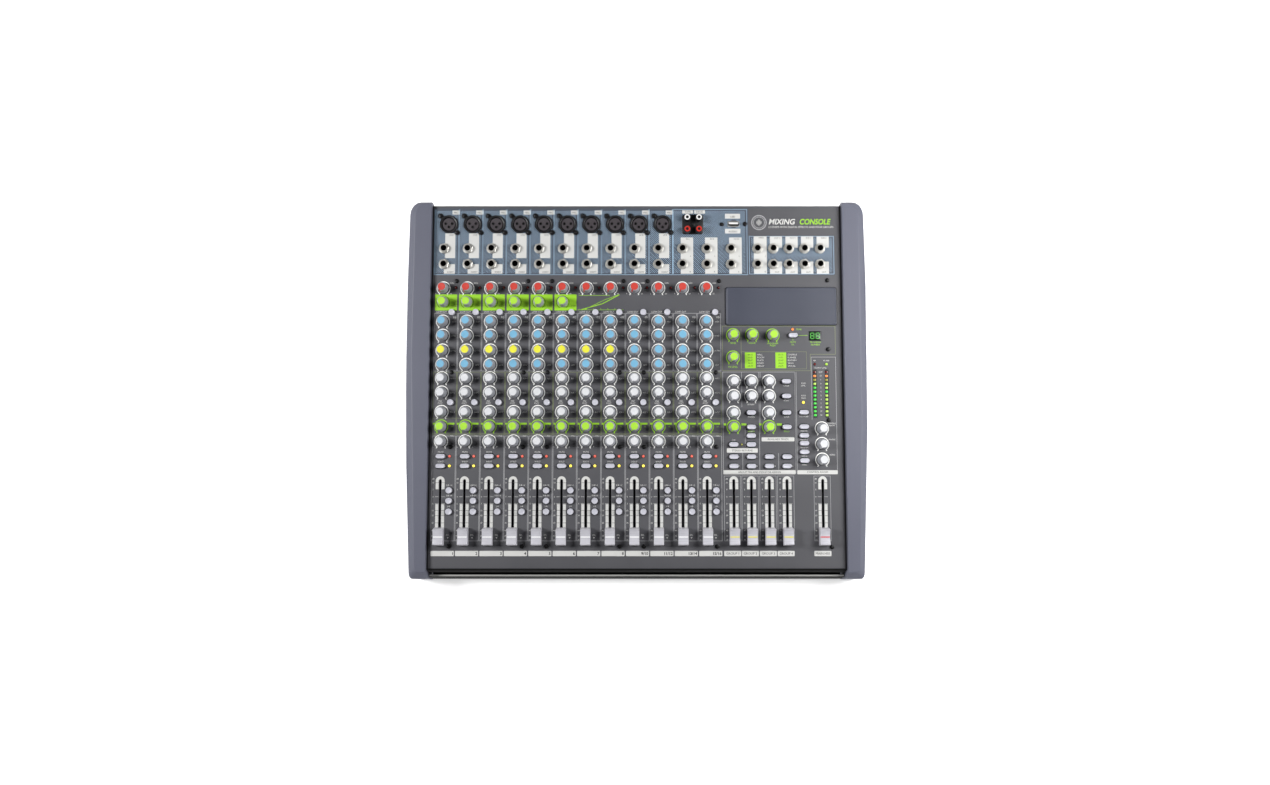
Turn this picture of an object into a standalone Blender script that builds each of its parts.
"""A twelve-strip audio mixing console: a sloped steel top panel on a tray between two moulded end cheeks.

Panel coordinates: u is metres to the right of the panel's middle, v is metres from the front edge along the
panel, and h is metres above the panel's top surface. World coordinates: +X right, +Y to the rear, +Z up,
with the origin under the middle of the console, on the surface that it stands on.
"""

import math

import bmesh
import bpy
from mathutils import Matrix

MM = 0.001
GAP = 0.3 * MM  # clearance between touching pieces

# Case
SLOPE = math.radians(7.0)  # panel slope, rising to the rear
DEPTH = 420.9 * MM  # front to rear over the end cheeks
PANEL_FRONT_Z = 40 * MM  # height of the panel's surface at v = 0
PANEL_HALF_WIDTH = 231.4 * MM
PANEL_FRONT_V = 8.9 * MM
PANEL_REAR_V = 420.0 * MM
PANEL_THICKNESS = 1.5 * MM
TRAY_THICKNESS = 1.2 * MM
TRAY_FLOOR_Z = 8.4 * MM  # underside of the tray
REAR_WALL_Y = 204.4 * MM  # outer face of the tray's rear wall

# End cheeks
CHEEK_INNER_X = 232.3 * MM
CHEEK_OUTER_X = 259.4 * MM
CHEEK_WIDEST_Y = 75 * MM
CHEEK_BULGE = 0.0954  # outer side falls back by this times the square of the distance from the widest point
CHEEK_RISE = 6 * MM  # top of the cheek over the panel
CHEEK_FLANK_RISE = 0.5 * MM  # where the outer bevel begins
CHEEK_FOOT_Z = 3 * MM
CHEEK_BEVEL_SIDE = 7 * MM
CHEEK_BEVEL_FRONT = 7 * MM
CHEEK_BEVEL_REAR = 3.5 * MM
FRONT_CORNER = (4 * MM, 7 * MM)
REAR_CORNER = (12 * MM, 15 * MM)

# Strips
STRIPS = 12
MIC_STRIPS = 10
STRIP_PITCH = 27 * MM
FIRST_STRIP_U = -218.6 * MM
SIDE_OFFSET = 10 * MM  # column of small buttons beside the knobs
STRIP_KNOBS = {
    "gain": 324.8 * MM,
    "compressor": 308.9 * MM,
    "eq_high": 286.8 * MM,
    "eq_high_mid": 270.7 * MM,
    "eq_low_mid": 253.9 * MM,
    "eq_low": 237.7 * MM,
    "aux_1": 222.5 * MM,
    "aux_2": 206.4 * MM,
    "aux_3": 184.6 * MM,
    "effects": 168.3 * MM,
    "pan": 151.7 * MM,
}
COMPRESSOR_STRIPS = 6
OBLONG_BUTTONS = {"mute": 135.1 * MM, "solo": 124.4 * MM}
ROUND_BUTTONS = {"low_cut": 297.2 * MM, "pre_post": 195.3 * MM}
ASSIGN_BUTTONS = {"assign_12": 97.3 * MM, "assign_34": 85.8 * MM, "assign_main": 73.8 * MM}

# Master section: (u, v) of each control
SILVER = [(108.8, 218.9), (128.4, 218.9), (148.2, 218.9), (108.8, 202.3), (128.4, 202.3), (148.2, 202.3)]
SENDS = [(108.4, 183.8), (148.0, 183.8), (108.4, 167.7), (148.0, 167.7)]
EFFECT_KNOBS = [(108.7, 271.4), (129.9, 271.4), (153.1, 271.0)]
MASTER_BUTTONS = [(128.0, 183.8), (167.6, 183.8), (128.0, 167.7), (167.6, 167.7), (167.6, 218.9), (167.6, 202.3)]
MASTER_BUTTONS += [(127.8, 158.0), (108.2, 148.2), (127.8, 148.2), (176.0, 271.0)]
MASTER_BUTTONS += [(u, v) for v in (134.6, 124.2) for u in (108.2, 127.8, 147.8, 167.4)]
MASTER_BUTTONS += [(187.0, v) for v in (184.1, 168.0, 158.2, 149.5, 139.9, 130.3)]
MOVING_MASTER_KNOBS = {
    "effects_level_knob": (108.4 * MM, 246.0 * MM),
    "control_room_knob": (207.0 * MM, 166.1 * MM),
    "phones_knob": (207.0 * MM, 148.7 * MM),
    "monitor_blend_knob": (207.0 * MM, 131.3 * MM),
}

# Controls
KNOB_RADIUS = 6 * MM
KNOB_TOP_RADIUS = 4.7 * MM
KNOB_TOP = 12 * MM
KNOB_FOOT = 1 * MM
SHAFT_RADIUS = 2.9 * MM
SHAFT_FOOT = -8 * MM
SHAFT_HOLE_RADIUS = 3.6 * MM
POT_SIZE = 9.6 * MM
POT_TOP = -3 * MM
POT_BORE_FOOT = -9 * MM
OBLONG = (10.5 * MM, 5.3 * MM)
ROUND_RADIUS = 3.6 * MM
BUTTON_TOP = 3.5 * MM
BUTTON_FOOT = -5.2 * MM
SWITCH_TOP = -8.4 * MM
SWITCH_SIZE = 6.4 * MM
CONTROL_GAP = 0.4 * MM

# Faders
FADER_REST_V = 46.5 * MM
FADER_TRAVEL = 60 * MM
GROUP_FADERS_U = (108.0 * MM, 127.6 * MM, 147.5 * MM, 167.2 * MM)
MAIN_FADER_U = 206.9 * MM
CAP_LENGTH = 20 * MM
CAP_WIDTH = 11 * MM
CAP_FOOT = 1.6 * MM
CAP_TOP = 12 * MM
CAP_WAIST = 9.4 * MM
LEVER = (1.2 * MM, 4 * MM)
LEVER_FOOT = -10 * MM
SLOT_WIDTH = 2.4 * MM
SLOT_REACH = 2.6 * MM  # slot beyond the lever at both ends of its travel
TRACK_WIDTH = 11 * MM
TRACK_TOP = -2.4 * MM
TRACK_REACH = 7.5 * MM

# Sockets
JACK_ROWS_V = (370.5 * MM, 352.5 * MM)
JACK_COLUMNS_U = [FIRST_STRIP_U + i * STRIP_PITCH for i in range(MIC_STRIPS)]
JACK_COLUMNS_U += [51.8 * MM, 79.4 * MM, 106.9 * MM, 137.0 * MM, 154.9 * MM, 172.6 * MM, 190.3 * MM, 208.0 * MM]
JACK_FLATS = 11 * MM  # across the nut
JACK_BORE_FLATS = 6.6 * MM
JACK_TOP = 4.5 * MM
JACK_BORE_DEPTH = 22 * MM
XLR_OFFSET_U = 5.1 * MM
XLR_V = 398.4 * MM
XLR_RADIUS = 10.4 * MM
XLR_RECESS_RADIUS = 8.2 * MM
XLR_RECESS_DEPTH = 3 * MM
XLR_TOP = 2.2 * MM
RCA_POINTS = [(u * MM, v * MM) for u in (57.2, 70.5) for v in (404.9, 391.4)]
RCA_RADIUS = 4.1 * MM
RCA_TOP = 8.5 * MM
USB_CENTRE = (110.2 * MM, 398.9 * MM)
USB_SIZE = (13.2 * MM, 6.4 * MM)
USB_SLOT = (11.4 * MM, 2.4 * MM)

# Boards, under the panel
BOARD_THICKNESS = 1.6 * MM
BOARD_TOP = -12 * MM
FADER_BOARD_TOP = -14 * MM
CONNECTOR_BOARD_TOP = -26 * MM
CHANNEL_BOARD = (-229 * MM, 93 * MM, 118 * MM, 336 * MM)  # u from, u to, v from, v to
MASTER_BOARD = (96 * MM, 229 * MM, 119 * MM, 281 * MM)
FADER_BOARD = (-229 * MM, 220 * MM, 30 * MM, 116 * MM)
CONNECTOR_BOARD = (-229 * MM, 224 * MM, 343 * MM, 409.3 * MM)
EFFECTS_BOARD = (99 * MM, 226 * MM, 284 * MM, 334 * MM)

# Windows, plate and modules
DISPLAY = (200.9 * MM, 270.5 * MM, 13.3 * MM, 10.1 * MM)  # u, v, width, height of the window
METER_COLUMNS_U = (200.0 * MM, 213.2 * MM)
METER_V = (178.5 * MM, 232 * MM)
METER_WIDTH = 3.6 * MM
MODULE_FOOT = -11.6 * MM
MODULE_TOP = -3 * MM
PLATE = (163.0 * MM, 304.1 * MM, 124.9 * MM, 42.8 * MM)
PLATE_TOP = 1.6 * MM
PLATE_CORNER = 2.5 * MM
PLATE_BOSS = (104 * MM, 26 * MM)

# Rear wall, mains side
INLET_X = 170 * MM
INLET_Z = 44 * MM
INLET_BODY = (52 * MM, 23 * MM)  # inlet and switch housing together, width and height
INLET_FLANGE_MARGIN = 2.2 * MM
INLET_FLANGE = 1.6 * MM
INLET_DEPTH = 22 * MM
SOCKET_OFFSET = 11.5 * MM  # socket's centre from the module's centre
SOCKET_SIZE = (24 * MM, 16.6 * MM)
SOCKET_DEPTH = 16 * MM
PIN_SIZE = (2 * MM, 13 * MM, 4 * MM)
PIN_PLACES = ((0, 3.6 * MM), (-7 * MM, -3.6 * MM), (7 * MM, -3.6 * MM))
SWITCH_BAY = (13.2 * MM, 18.6 * MM, 12 * MM)
SWITCH_OFFSET = -14.5 * MM
ROCKER_SIZE = (12 * MM, 16.8 * MM)
ROCKER_TILT = math.radians(8)
VENTS = 7
VENT_SIZE = (30 * MM, 3 * MM)
VENT_PITCH = 44 * MM

FOOT_HEIGHT = 8 * MM
FOOT_RADIUS = 10 * MM
FOOT_X = 205 * MM
FOOT_Y = 168 * MM

HEX = 6
OCT = 8
DECAGON = 10
COLOURS = {
    "panel_grey": ((0.075, 0.076, 0.08), 0.5, 0.3),
    "tray_black": ((0.03, 0.03, 0.032), 0.5, 0.4),
    "cheek_grey": ((0.17, 0.175, 0.215), 0.55, 0.0),
    "board_green": ((0.03, 0.16, 0.06), 0.45, 0.0),
    "plate_grey": ((0.12, 0.125, 0.16), 0.5, 0.0),
    "knob_grey": ((0.24, 0.25, 0.28), 0.45, 0.0),
    "button_white": ((0.62, 0.63, 0.66), 0.4, 0.0),
    "cap_silver": ((0.68, 0.68, 0.71), 0.35, 0.2),
    "black": ((0.02, 0.02, 0.02), 0.45, 0.0),
    "rubber": ((0.025, 0.025, 0.025), 0.85, 0.0),
    "ribbon": ((0.45, 0.45, 0.47), 0.6, 0.0),
    "smoked": ((0.01, 0.03, 0.012), 0.15, 0.0),
}


def clear_scene():
    for obj in list(bpy.data.objects):
        bpy.data.objects.remove(obj, do_unlink=True)


def make_collection(name):
    collection = bpy.data.collections.new(name)
    bpy.context.scene.collection.children.link(collection)
    return collection


def make_materials():
    materials = {}
    for name, (colour, roughness, metallic) in COLOURS.items():
        material = bpy.data.materials.new(name)
        material.use_nodes = True
        shader = material.node_tree.nodes["Principled BSDF"]
        shader.inputs["Base Color"].default_value = (*colour, 1)
        shader.inputs["Roughness"].default_value = roughness
        shader.inputs["Metallic"].default_value = metallic
        materials[name] = material
    return materials


clear_scene()
CONSOLE = make_collection("mixing_console")
CUTTERS = make_collection("cutters")
MATERIALS = make_materials()
PANEL_PLANE = bpy.data.objects.new("panel_plane", None)
CONSOLE.objects.link(PANEL_PLANE)
PANEL_PLANE.location = (0, -DEPTH / 2, PANEL_FRONT_Z)
PANEL_PLANE.rotation_euler = (SLOPE, 0, 0)


# ---------------------------------------------------------------- small tools


def add_prism(bm, centre, radius, low, high, sides, top_radius=None, turn=None):
    """A regular prism or frustum along h; its flats face +-u unless turned."""
    turn = math.pi / sides if turn is None else turn
    made = bmesh.ops.create_cone(
        bm,
        cap_ends=True,
        segments=sides,
        radius1=radius,
        radius2=radius if top_radius is None else top_radius,
        depth=high - low,
    )
    bmesh.ops.rotate(bm, verts=made["verts"], cent=(0, 0, 0), matrix=Matrix.Rotation(turn, 3, "Z"))
    bmesh.ops.translate(bm, verts=made["verts"], vec=(centre[0], centre[1], (low + high) / 2))


def add_box(bm, centre, size, low, high):
    """A box along h over the rectangle of this size (u, v) round the centre."""
    made = bmesh.ops.create_cube(bm, size=1)
    bmesh.ops.scale(bm, verts=made["verts"], vec=(size[0], size[1], high - low))
    bmesh.ops.translate(bm, verts=made["verts"], vec=(centre[0], centre[1], (low + high) / 2))


def add_area(bm, area, low, high):
    """A box along h over the area (u from, u to, v from, v to)."""
    centre = ((area[0] + area[1]) / 2, (area[2] + area[3]) / 2)
    add_box(bm, centre, (area[1] - area[0], area[3] - area[2]), low, high)


def extrude_outline(bm, outline, width):
    """A solid with this (y, z) outline, extruded along x to this width about x = 0."""
    verts = [bm.verts.new((-width / 2, y, z)) for y, z in outline]
    face = bm.faces.new(verts)
    moved = bmesh.ops.extrude_face_region(bm, geom=[face])["geom"]
    moved = [item for item in moved if isinstance(item, bmesh.types.BMVert)]
    bmesh.ops.translate(bm, verts=moved, vec=(width, 0, 0))
    bmesh.ops.recalc_face_normals(bm, faces=bm.faces)


def make_object(name, bm, material=None, parent=None, place=(0, 0, 0)):
    mesh = bpy.data.meshes.new(name)
    bm.to_mesh(mesh)
    bm.free()
    obj = bpy.data.objects.new(name, mesh)
    if material:
        CONSOLE.objects.link(obj)
        mesh.materials.append(MATERIALS[material])
        mesh.shade_smooth()
        mesh.set_sharp_from_angle(angle=math.radians(35))
    else:
        CUTTERS.objects.link(obj)
        obj.hide_render = True
        obj.display_type = "WIRE"
    obj.parent = parent
    obj.location = place
    return obj


def boolean(obj, other, operation):
    modifier = obj.modifiers.new(operation.lower(), "BOOLEAN")
    modifier.operation = operation
    modifier.solver = "EXACT"
    modifier.object = other


def bent_sheet(name, profile, width, thickness, material, parent):
    """A folded sheet: the open (y, z) profile is its outer face, and the thickness goes to its left."""
    bm = bmesh.new()
    rows = [[bm.verts.new((x, y, z)) for y, z in profile] for x in (-width / 2, width / 2)]
    for i in range(len(profile) - 1):
        bm.faces.new((rows[0][i], rows[0][i + 1], rows[1][i + 1], rows[1][i]))
    obj = make_object(name, bm, material, parent)
    solid = obj.modifiers.new("thickness", "SOLIDIFY")
    solid.thickness = thickness
    solid.offset = -1
    solid.use_even_offset = True
    return obj


def panel_to_world(v, h):
    """World (y, z) of a panel place."""
    y = -DEPTH / 2 + v * math.cos(SLOPE) - h * math.sin(SLOPE)
    z = PANEL_FRONT_Z + v * math.sin(SLOPE) + h * math.cos(SLOPE)
    return y, z


def height_over(y, rise):
    """World z at world y of the plane that lies this much above the panel."""
    return PANEL_FRONT_Z + (y + DEPTH / 2) * math.tan(SLOPE) + rise / math.cos(SLOPE)


def strip_u(index):
    return FIRST_STRIP_U + index * STRIP_PITCH


# ---------------------------------------------------------------- where the controls are


def fixed_strip_knobs():
    """Knobs of strips 2 to 12."""
    places = []
    for index in range(1, STRIPS):
        for name, v in STRIP_KNOBS.items():
            if name != "compressor" or index < COMPRESSOR_STRIPS:
                places.append((strip_u(index), v))
    return places


def master_knobs():
    return [(u * MM, v * MM) for u, v in SILVER + SENDS + EFFECT_KNOBS]


def master_buttons():
    return [(u * MM, v * MM) for u, v in MASTER_BUTTONS]


def moving_knobs():
    """name -> (u, v) of the knobs that are pieces of their own."""
    knobs = {f"strip_1_{name}_knob": (FIRST_STRIP_U, v) for name, v in STRIP_KNOBS.items()}
    knobs.update(MOVING_MASTER_KNOBS)
    return knobs


def moving_round_buttons():
    rows = {**ROUND_BUTTONS, **ASSIGN_BUTTONS}
    return {f"strip_1_{name}_button": (FIRST_STRIP_U + SIDE_OFFSET, v) for name, v in rows.items()}


def moving_oblong_buttons():
    return {f"strip_1_{name}_button": (FIRST_STRIP_U, v) for name, v in OBLONG_BUTTONS.items()}


def faders():
    names = {f"fader_{index + 1:02d}": strip_u(index) for index in range(STRIPS)}
    names.update({f"group_fader_{index + 1}": u for index, u in enumerate(GROUP_FADERS_U)})
    names["main_fader"] = MAIN_FADER_U
    return names


# ---------------------------------------------------------------- case


def make_top_panel():
    profile = [
        (PANEL_REAR_V + 0.7 * MM, -6 * MM),
        (PANEL_REAR_V, 0),
        (PANEL_FRONT_V, 0),
        (PANEL_FRONT_V - 3 * MM, -10 * MM),
    ]
    panel = bent_sheet("top_panel", profile, 2 * PANEL_HALF_WIDTH, PANEL_THICKNESS, "panel_grey", PANEL_PLANE)
    bm = bmesh.new()
    reach = 4 * MM
    hexagons = fixed_strip_knobs() + master_knobs()
    for place in hexagons:
        add_prism(bm, place, KNOB_RADIUS + 2 * CONTROL_GAP, -reach, reach, HEX)
    for place in moving_knobs().values():
        add_prism(bm, place, SHAFT_HOLE_RADIUS, -reach, reach, OCT)
    for place in moving_round_buttons().values():
        add_prism(bm, place, ROUND_RADIUS + 2 * CONTROL_GAP, -reach, reach, OCT)
    for place in master_buttons() + list(moving_oblong_buttons().values()):
        add_box(bm, place, [side + 2 * CONTROL_GAP for side in OBLONG], -reach, reach)
    slot_length = FADER_TRAVEL + LEVER[1] + 2 * SLOT_REACH
    for u in faders().values():
        add_box(bm, (u, FADER_REST_V + FADER_TRAVEL / 2), (SLOT_WIDTH, slot_length), -reach, reach)
    for place in jack_places():
        add_prism(bm, place, flats_radius(JACK_FLATS) + 2 * CONTROL_GAP, -reach, reach, HEX)
    for place in xlr_places():
        add_prism(bm, place, XLR_RADIUS + 2 * CONTROL_GAP, -reach, reach, DECAGON)
    for place in RCA_POINTS:
        add_prism(bm, place, RCA_RADIUS + 2 * CONTROL_GAP, -reach, reach, HEX)
    add_box(bm, USB_CENTRE, [side + 2 * CONTROL_GAP for side in USB_SIZE], -reach, reach)
    add_box(bm, DISPLAY[:2], [side + 2 * CONTROL_GAP for side in DISPLAY[2:]], -reach, reach)
    for u in METER_COLUMNS_U:
        window = (METER_WIDTH + 2 * CONTROL_GAP, METER_V[1] - METER_V[0] + 2 * CONTROL_GAP)
        add_box(bm, (u, sum(METER_V) / 2), window, -reach, reach)
    add_box(bm, PLATE[:2], [side + 2 * CONTROL_GAP for side in PLATE_BOSS], -reach, reach)
    holes = make_object("panel_holes", bm, parent=PANEL_PLANE)
    boolean(panel, holes, "DIFFERENCE")


def make_base_tray():
    lip_z = 30 * MM
    front_top_y = panel_to_world(PANEL_FRONT_V - 5.9 * MM, 0)[0]
    rear_top_z = height_over(REAR_WALL_Y, -3.2 * MM)
    profile = [
        (front_top_y + 2.4 * MM, lip_z),
        (front_top_y, lip_z),
        (-DEPTH / 2 + 0.4 * MM, TRAY_FLOOR_Z),
        (REAR_WALL_Y, TRAY_FLOOR_Z),
        (REAR_WALL_Y, rear_top_z),
    ]
    tray = bent_sheet("base_tray", profile, 2 * PANEL_HALF_WIDTH, TRAY_THICKNESS, "tray_black", None)
    bm = bmesh.new()
    cut_depth = 6 * MM
    add_rear_box(bm, INLET_X, INLET_Z, [side + 2 * GAP for side in INLET_BODY], -cut_depth, cut_depth)
    for index in range(VENTS):
        x = -190 * MM + index * VENT_PITCH
        add_rear_box(bm, x, INLET_Z, VENT_SIZE, -cut_depth, cut_depth)
    cutouts = make_object("tray_cutouts", bm)
    boolean(tray, cutouts, "DIFFERENCE")


def add_rear_box(bm, x, z, size, inward, outward):
    """A box through the rear wall: size is (x, z), and the depths run from the wall's outer face along y."""
    made = bmesh.ops.create_cube(bm, size=1)
    bmesh.ops.scale(bm, verts=made["verts"], vec=(size[0], outward - inward, size[1]))
    bmesh.ops.translate(bm, verts=made["verts"], vec=(x, REAR_WALL_Y + (inward + outward) / 2, z))


def cheek_outline(inset_side, inset_front, inset_rear):
    """Plan of the right cheek from the inner front corner round to the inner rear one."""
    front = -DEPTH / 2 + inset_front
    rear = DEPTH / 2 - inset_rear
    points = [(CHEEK_INNER_X, front)]
    points += corner_arc(front, 1, FRONT_CORNER, inset_side, steps=4)
    start = front + FRONT_CORNER[1]
    end = rear - REAR_CORNER[1]
    steps = 10
    points += [(cheek_side(start + (end - start) * i / steps) - inset_side, start + (end - start) * i / steps)
               for i in range(1, steps)]
    points += corner_arc(rear, -1, REAR_CORNER, inset_side, steps=5)
    points.append((CHEEK_INNER_X, rear))
    return points


def cheek_side(y):
    return CHEEK_OUTER_X - CHEEK_BULGE * (y - CHEEK_WIDEST_Y) ** 2


def corner_arc(end_y, direction, radii, inset_side, steps):
    """Quarter ellipse between an end face at end_y and the side; direction points into the cheek."""
    side = cheek_side(end_y + direction * radii[1]) - inset_side
    arc = []
    for i in range(steps + 1):
        angle = math.radians(90) * i / steps
        x = side - radii[0] + radii[0] * math.sin(angle)
        y = end_y + direction * radii[1] * (1 - math.cos(angle))
        arc.append((x, y))
    return arc if direction > 0 else arc[::-1]


def make_cheek(name, side):
    """An end cheek: straight flanks up to the panel's level, then a bevel to the flat top."""
    low = cheek_outline(0, 0, 0)
    high = cheek_outline(CHEEK_BEVEL_SIDE, CHEEK_BEVEL_FRONT, CHEEK_BEVEL_REAR)
    bm = bmesh.new()
    rings = [
        [bm.verts.new((x, y, CHEEK_FOOT_Z)) for x, y in low],
        [bm.verts.new((x, y, height_over(y, CHEEK_FLANK_RISE))) for x, y in low],
        [bm.verts.new((x, y, height_over(y, CHEEK_RISE))) for x, y in high],
    ]
    count = len(low)
    for below, above in zip(rings, rings[1:]):
        for i in range(count):
            j = (i + 1) % count
            bm.faces.new((below[i], below[j], above[j], above[i]))
    bm.faces.new(rings[0][::-1])
    bm.faces.new(rings[-1])
    if side < 0:
        bmesh.ops.scale(bm, verts=bm.verts, vec=(-1, 1, 1))
    bmesh.ops.recalc_face_normals(bm, faces=bm.faces)
    make_object(name, bm, "cheek_grey")


def make_feet():
    for name, x, y in (
        ("foot_front_left", -FOOT_X, -FOOT_Y),
        ("foot_front_right", FOOT_X, -FOOT_Y),
        ("foot_rear_left", -FOOT_X, FOOT_Y),
        ("foot_rear_right", FOOT_X, FOOT_Y),
    ):
        bm = bmesh.new()
        add_prism(bm, (0, 0), FOOT_RADIUS - 1.5 * MM, 0, FOOT_HEIGHT, 12, top_radius=FOOT_RADIUS)
        make_object(name, bm, "rubber", place=(x, y, 0))


def make_accessory_plate():
    bm = bmesh.new()
    add_box(bm, (0, 0), PLATE[2:], GAP, PLATE_TOP)
    corners = [edge for edge in bm.edges if abs(edge.verts[0].co.z - edge.verts[1].co.z) > MM / 2]
    bmesh.ops.bevel(bm, geom=corners, offset=PLATE_CORNER, segments=3, affect="EDGES", profile=0.5)
    plate = make_object("accessory_plate", bm, "plate_grey", PANEL_PLANE, (PLATE[0], PLATE[1], 0))
    bm = bmesh.new()
    add_box(bm, (0, 0), PLATE_BOSS, MODULE_TOP, PLATE_TOP / 2)
    boss = make_object("plate_boss", bm, parent=PANEL_PLANE, place=(PLATE[0], PLATE[1], 0))
    boolean(plate, boss, "UNION")


# ---------------------------------------------------------------- boards and what stands on them


def flats_radius(across_flats):
    """Corner radius of a hexagon with this width across its flats."""
    return across_flats / 2 / math.cos(math.pi / HEX)


def jack_places():
    return [(u, v) for v in JACK_ROWS_V for u in JACK_COLUMNS_U]


def xlr_places():
    return [(strip_u(index) + XLR_OFFSET_U, XLR_V) for index in range(MIC_STRIPS)]


def make_board(name, area, top, posts, holes=None):
    """A circuit board with what is soldered to it: posts and holes fill a bmesh with separate solids."""
    bm = bmesh.new()
    add_area(bm, area, top - BOARD_THICKNESS, top)
    board = make_object(name, bm, "board_green", PANEL_PLANE)
    bm = bmesh.new()
    posts(bm, top - BOARD_THICKNESS / 2)
    boolean(board, make_object(name + "_parts", bm, parent=PANEL_PLANE), "UNION")
    if holes:
        bm = bmesh.new()
        holes(bm)
        boolean(board, make_object(name + "_holes", bm, parent=PANEL_PLANE), "DIFFERENCE")


def add_pots(bm, places, root):
    for place in places:
        add_box(bm, place, (POT_SIZE, POT_SIZE), root, POT_TOP)


def add_pot_bores(bm, places):
    for place in places:
        add_prism(bm, place, SHAFT_HOLE_RADIUS, POT_BORE_FOOT, POT_TOP + MM, HEX)


def add_fixed_knobs(bm, places, root):
    for place in places:
        add_prism(bm, place, KNOB_RADIUS, root, KNOB_TOP, HEX)


def add_oblong_buttons(bm, places, root):
    for place in places:
        add_box(bm, place, OBLONG, root, BUTTON_TOP)


def add_switches(bm, places, root):
    for place in places:
        add_box(bm, place, (SWITCH_SIZE, OBLONG[1]), root, SWITCH_TOP)


def make_channel_board():
    pots = [place for name, place in moving_knobs().items() if name.startswith("strip_1")]
    switches = [(FIRST_STRIP_U + SIDE_OFFSET, v) for v in ROUND_BUTTONS.values()]
    switches += list(moving_oblong_buttons().values())

    def posts(bm, root):
        add_pots(bm, pots, root)
        add_switches(bm, switches, root)
        add_fixed_knobs(bm, fixed_strip_knobs(), root)

    make_board("channel_board", CHANNEL_BOARD, BOARD_TOP, posts, lambda bm: add_pot_bores(bm, pots))


def make_master_board():
    pots = list(MOVING_MASTER_KNOBS.values())

    def posts(bm, root):
        add_pots(bm, pots, root)
        add_fixed_knobs(bm, master_knobs(), root)
        add_oblong_buttons(bm, master_buttons(), root)

    make_board("master_board", MASTER_BOARD, BOARD_TOP, posts, lambda bm: add_pot_bores(bm, pots))


def make_fader_board():
    switches = [(FIRST_STRIP_U + SIDE_OFFSET, v) for v in ASSIGN_BUTTONS.values()]
    middle = FADER_REST_V + FADER_TRAVEL / 2
    travel = FADER_TRAVEL + LEVER[1]

    def posts(bm, root):
        for u in faders().values():
            add_box(bm, (u, middle), (TRACK_WIDTH, travel + 2 * TRACK_REACH), root, TRACK_TOP)
        for place in switches:
            add_box(bm, place, (OBLONG[1], OBLONG[1]), root, SWITCH_TOP)

    def holes(bm):
        for u in faders().values():
            add_box(bm, (u, middle), (SLOT_WIDTH, travel + 2 * SLOT_REACH), LEVER_FOOT - MM, TRACK_TOP + MM)

    make_board("fader_board", FADER_BOARD, FADER_BOARD_TOP, posts, holes)


def make_connector_board():
    def posts(bm, root):
        for place in jack_places():
            add_prism(bm, place, flats_radius(JACK_FLATS), root, JACK_TOP, HEX)
        for place in xlr_places():
            add_prism(bm, place, XLR_RADIUS, root, XLR_TOP, DECAGON)
        for place in RCA_POINTS:
            add_prism(bm, place, RCA_RADIUS, root, RCA_TOP, HEX)
        add_box(bm, USB_CENTRE, USB_SIZE, root, GAP)

    def holes(bm):
        for place in jack_places():
            bore = flats_radius(JACK_BORE_FLATS)
            add_prism(bm, place, bore, JACK_TOP - JACK_BORE_DEPTH, JACK_TOP + MM, HEX)
        for place in xlr_places():
            add_prism(bm, place, XLR_RECESS_RADIUS, XLR_TOP - XLR_RECESS_DEPTH, XLR_TOP + MM, DECAGON)
        add_box(bm, USB_CENTRE, USB_SLOT, -10 * MM, MM)

    make_board("connector_board", CONNECTOR_BOARD, CONNECTOR_BOARD_TOP, posts, holes)


def make_effects_board():
    chips = ((125, 300, 24, 24, 2.2), (165, 305, 14, 20, 2.6), (195, 300, 18, 12, 3.0), (205, 322, 10, 10, 6.0))

    def posts(bm, root):
        for u, v, width, length, height in chips:
            add_box(bm, (u * MM, v * MM), (width * MM, length * MM), root, BOARD_TOP + height * MM)

    make_board("effects_board", EFFECTS_BOARD, BOARD_TOP, posts)


def make_display_module():
    bm = bmesh.new()
    add_box(bm, DISPLAY[:2], (17 * MM, 12 * MM), MODULE_FOOT, MODULE_TOP)
    module = make_object("display_module", bm, "smoked", PANEL_PLANE)
    bm = bmesh.new()
    add_box(bm, DISPLAY[:2], DISPLAY[2:], MODULE_TOP - MM, GAP)
    boolean(module, make_object("display_window", bm, parent=PANEL_PLANE), "UNION")


def make_meter_module():
    middle = sum(METER_V) / 2
    length = METER_V[1] - METER_V[0]
    bm = bmesh.new()
    add_box(bm, (sum(METER_COLUMNS_U) / 2, middle), (20 * MM, length), MODULE_FOOT, MODULE_TOP)
    module = make_object("meter_module", bm, "smoked", PANEL_PLANE)
    bm = bmesh.new()
    for u in METER_COLUMNS_U:
        add_box(bm, (u, middle), (METER_WIDTH, length - MM), MODULE_TOP - MM, 0)
    boolean(module, make_object("meter_columns", bm, parent=PANEL_PLANE), "UNION")


def make_ribbon_cables():
    """Flat cables under the boards, bent over the steps between them."""
    routes = {
        "ribbon_cable_channels": (-60 * MM, [(352, -28.9), (339, -28.9), (330, -14.9), (312, -14.9)]),
        "ribbon_cable_master": (150 * MM, [(100, -16.9), (117, -16.9), (122, -14.9), (140, -14.9)]),
    }
    for name, (u, route) in routes.items():
        points = [(v * MM, h * MM) for v, h in route]
        cable = bent_sheet(name, points, 26 * MM, 0.9 * MM, "ribbon", PANEL_PLANE)
        cable.location.x = u


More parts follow.
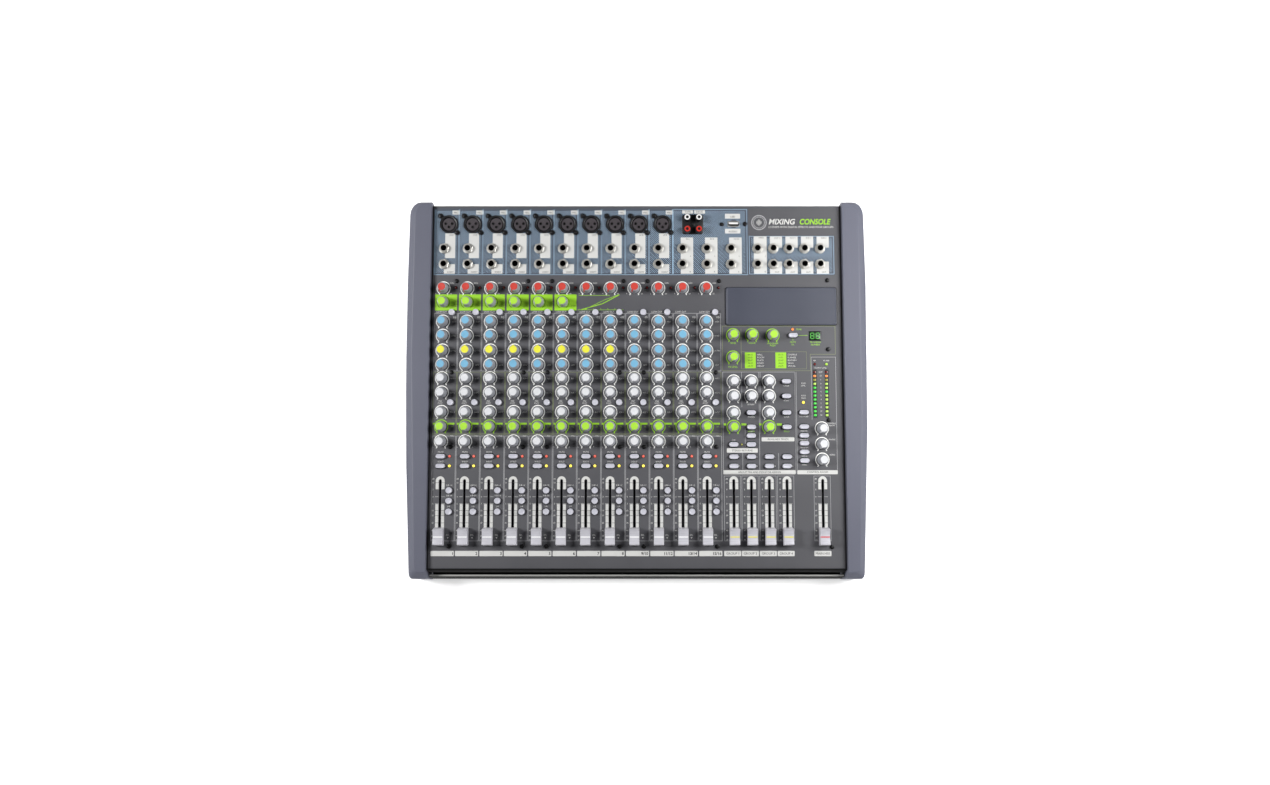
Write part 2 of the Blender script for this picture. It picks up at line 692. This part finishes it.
def make_power_supply():
    """Switched supply: board, transformer, smoothing capacitors and a heat sink, joined as soldered."""
    floor = TRAY_FLOOR_Z + TRAY_THICKNESS + GAP
    bm = bmesh.new()
    add_box(bm, (0, 0), (110 * MM, 70 * MM), 4 * MM, 6 * MM)
    supply = make_object("power_supply", bm, "board_green", place=(160 * MM, 130 * MM, floor))
    bm = bmesh.new()
    for x in (-50, 50):
        for y in (-30, 30):
            add_prism(bm, (x * MM, y * MM), 3 * MM, 0, 5 * MM, HEX)
    add_box(bm, (5 * MM, 2 * MM), (30 * MM, 26 * MM), 5 * MM, 30 * MM)
    add_box(bm, (40 * MM, 4 * MM), (5 * MM, 50 * MM), 5 * MM, 32 * MM)
    add_prism(bm, (-30 * MM, 18 * MM), 9 * MM, 5 * MM, 31 * MM, OCT)
    add_prism(bm, (-30 * MM, -14 * MM), 7 * MM, 5 * MM, 26 * MM, OCT)
    boolean(supply, make_object("supply_parts", bm, place=supply.location), "UNION")


# ---------------------------------------------------------------- mains inlet and switch


def make_power_inlet():
    """Socket and switch housing in one moulding, set in the rear wall."""
    bm = bmesh.new()
    add_rear_box(bm, INLET_X, INLET_Z, INLET_BODY, -INLET_DEPTH, MM)
    inlet = make_object("power_inlet", bm, "black")
    bm = bmesh.new()
    flange = [side + 2 * INLET_FLANGE_MARGIN for side in INLET_BODY]
    add_rear_box(bm, INLET_X, INLET_Z, flange, GAP, GAP + INLET_FLANGE)
    boolean(inlet, make_object("inlet_flange", bm), "UNION")
    bm = bmesh.new()
    add_rear_box(bm, INLET_X + SOCKET_OFFSET, INLET_Z, SOCKET_SIZE, -SOCKET_DEPTH, 4 * MM)
    bay = SWITCH_BAY[:2]
    add_rear_box(bm, INLET_X + SWITCH_OFFSET, INLET_Z, bay, -SWITCH_BAY[2], 4 * MM)
    boolean(inlet, make_object("inlet_hollows", bm), "DIFFERENCE")
    bm = bmesh.new()
    for x, z in PIN_PLACES:
        pin = (PIN_SIZE[0], PIN_SIZE[2])
        foot = -SOCKET_DEPTH - MM
        add_rear_box(bm, INLET_X + SOCKET_OFFSET + x, INLET_Z + z, pin, foot, foot + PIN_SIZE[1])
    boolean(inlet, make_object("inlet_pins", bm), "UNION")


def make_power_switch():
    """Rocker on a pivot along x; its two faces meet in a shallow V, and it rests tilted to off."""
    half = ROCKER_SIZE[1] / 2
    outline = [(3.2 * MM, half), (-1.5 * MM, half), (-5 * MM, 3 * MM), (-5 * MM, -3 * MM), (-1.5 * MM, -half)]
    outline += [(3.2 * MM, -half), (1.6 * MM, 0)]
    bm = bmesh.new()
    extrude_outline(bm, outline, ROCKER_SIZE[0])
    pivot = (INLET_X + SWITCH_OFFSET, REAR_WALL_Y - MM, INLET_Z)
    rocker = make_object("power_switch", bm, "black", place=pivot)
    rocker.rotation_euler = (-ROCKER_TILT, 0, 0)


# ---------------------------------------------------------------- moving controls


def make_knobs():
    """Turned knob on its shaft, one for each moving pot; the origin is on the pot's axis."""
    profile = [(0, KNOB_TOP), (KNOB_TOP_RADIUS, KNOB_TOP), (KNOB_RADIUS, KNOB_FOOT), (SHAFT_RADIUS, KNOB_FOOT)]
    profile += [(SHAFT_RADIUS, SHAFT_FOOT), (0, SHAFT_FOOT)]
    for name, (u, v) in moving_knobs().items():
        bm = bmesh.new()
        verts = [bm.verts.new((radius, 0, h)) for radius, h in profile]
        for first, second in zip(verts, verts[1:]):
            bm.edges.new((first, second))
        knob = make_object(name, bm, "knob_grey", PANEL_PLANE, (u, v, 0))
        turn = knob.modifiers.new("turn", "SCREW")
        turn.steps = OCT
        turn.render_steps = OCT
        turn.use_merge_vertices = True
        turn.merge_threshold = 0.00001


def make_buttons():
    for name, place in moving_round_buttons().items():
        bm = bmesh.new()
        add_prism(bm, (0, 0), ROUND_RADIUS, BUTTON_FOOT, BUTTON_TOP, OCT)
        make_object(name, bm, "button_white", PANEL_PLANE, (*place, 0))
    for name, place in moving_oblong_buttons().items():
        bm = bmesh.new()
        add_box(bm, (0, 0), OBLONG, BUTTON_FOOT, BUTTON_TOP)
        make_object(name, bm, "button_white", PANEL_PLANE, (*place, 0))


def make_faders():
    """A saddle-topped cap on its lever, at the bottom of its travel."""
    half = CAP_LENGTH / 2
    ridge = 6 * MM
    outline = [(-half, CAP_FOOT), (-ridge, CAP_TOP), (0, CAP_WAIST), (ridge, CAP_TOP), (half, CAP_FOOT)]
    for name, u in faders().items():
        bm = bmesh.new()
        extrude_outline(bm, outline, CAP_WIDTH)
        fader = make_object(name, bm, "cap_silver", PANEL_PLANE, (u, FADER_REST_V, 0))
        bm = bmesh.new()
        add_box(bm, (0, 0), LEVER, LEVER_FOOT, CAP_FOOT + MM)
        lever = make_object(name + "_lever", bm, parent=PANEL_PLANE, place=fader.location)
        boolean(fader, lever, "UNION")


make_top_panel()
make_base_tray()
make_cheek("left_cheek", -1)
make_cheek("right_cheek", 1)
make_feet()
make_accessory_plate()
make_channel_board()
make_master_board()
make_fader_board()
make_connector_board()
make_effects_board()
make_display_module()
make_meter_module()
make_ribbon_cables()
make_power_supply()
make_power_inlet()
make_power_switch()
make_knobs()
make_buttons()
make_faders()
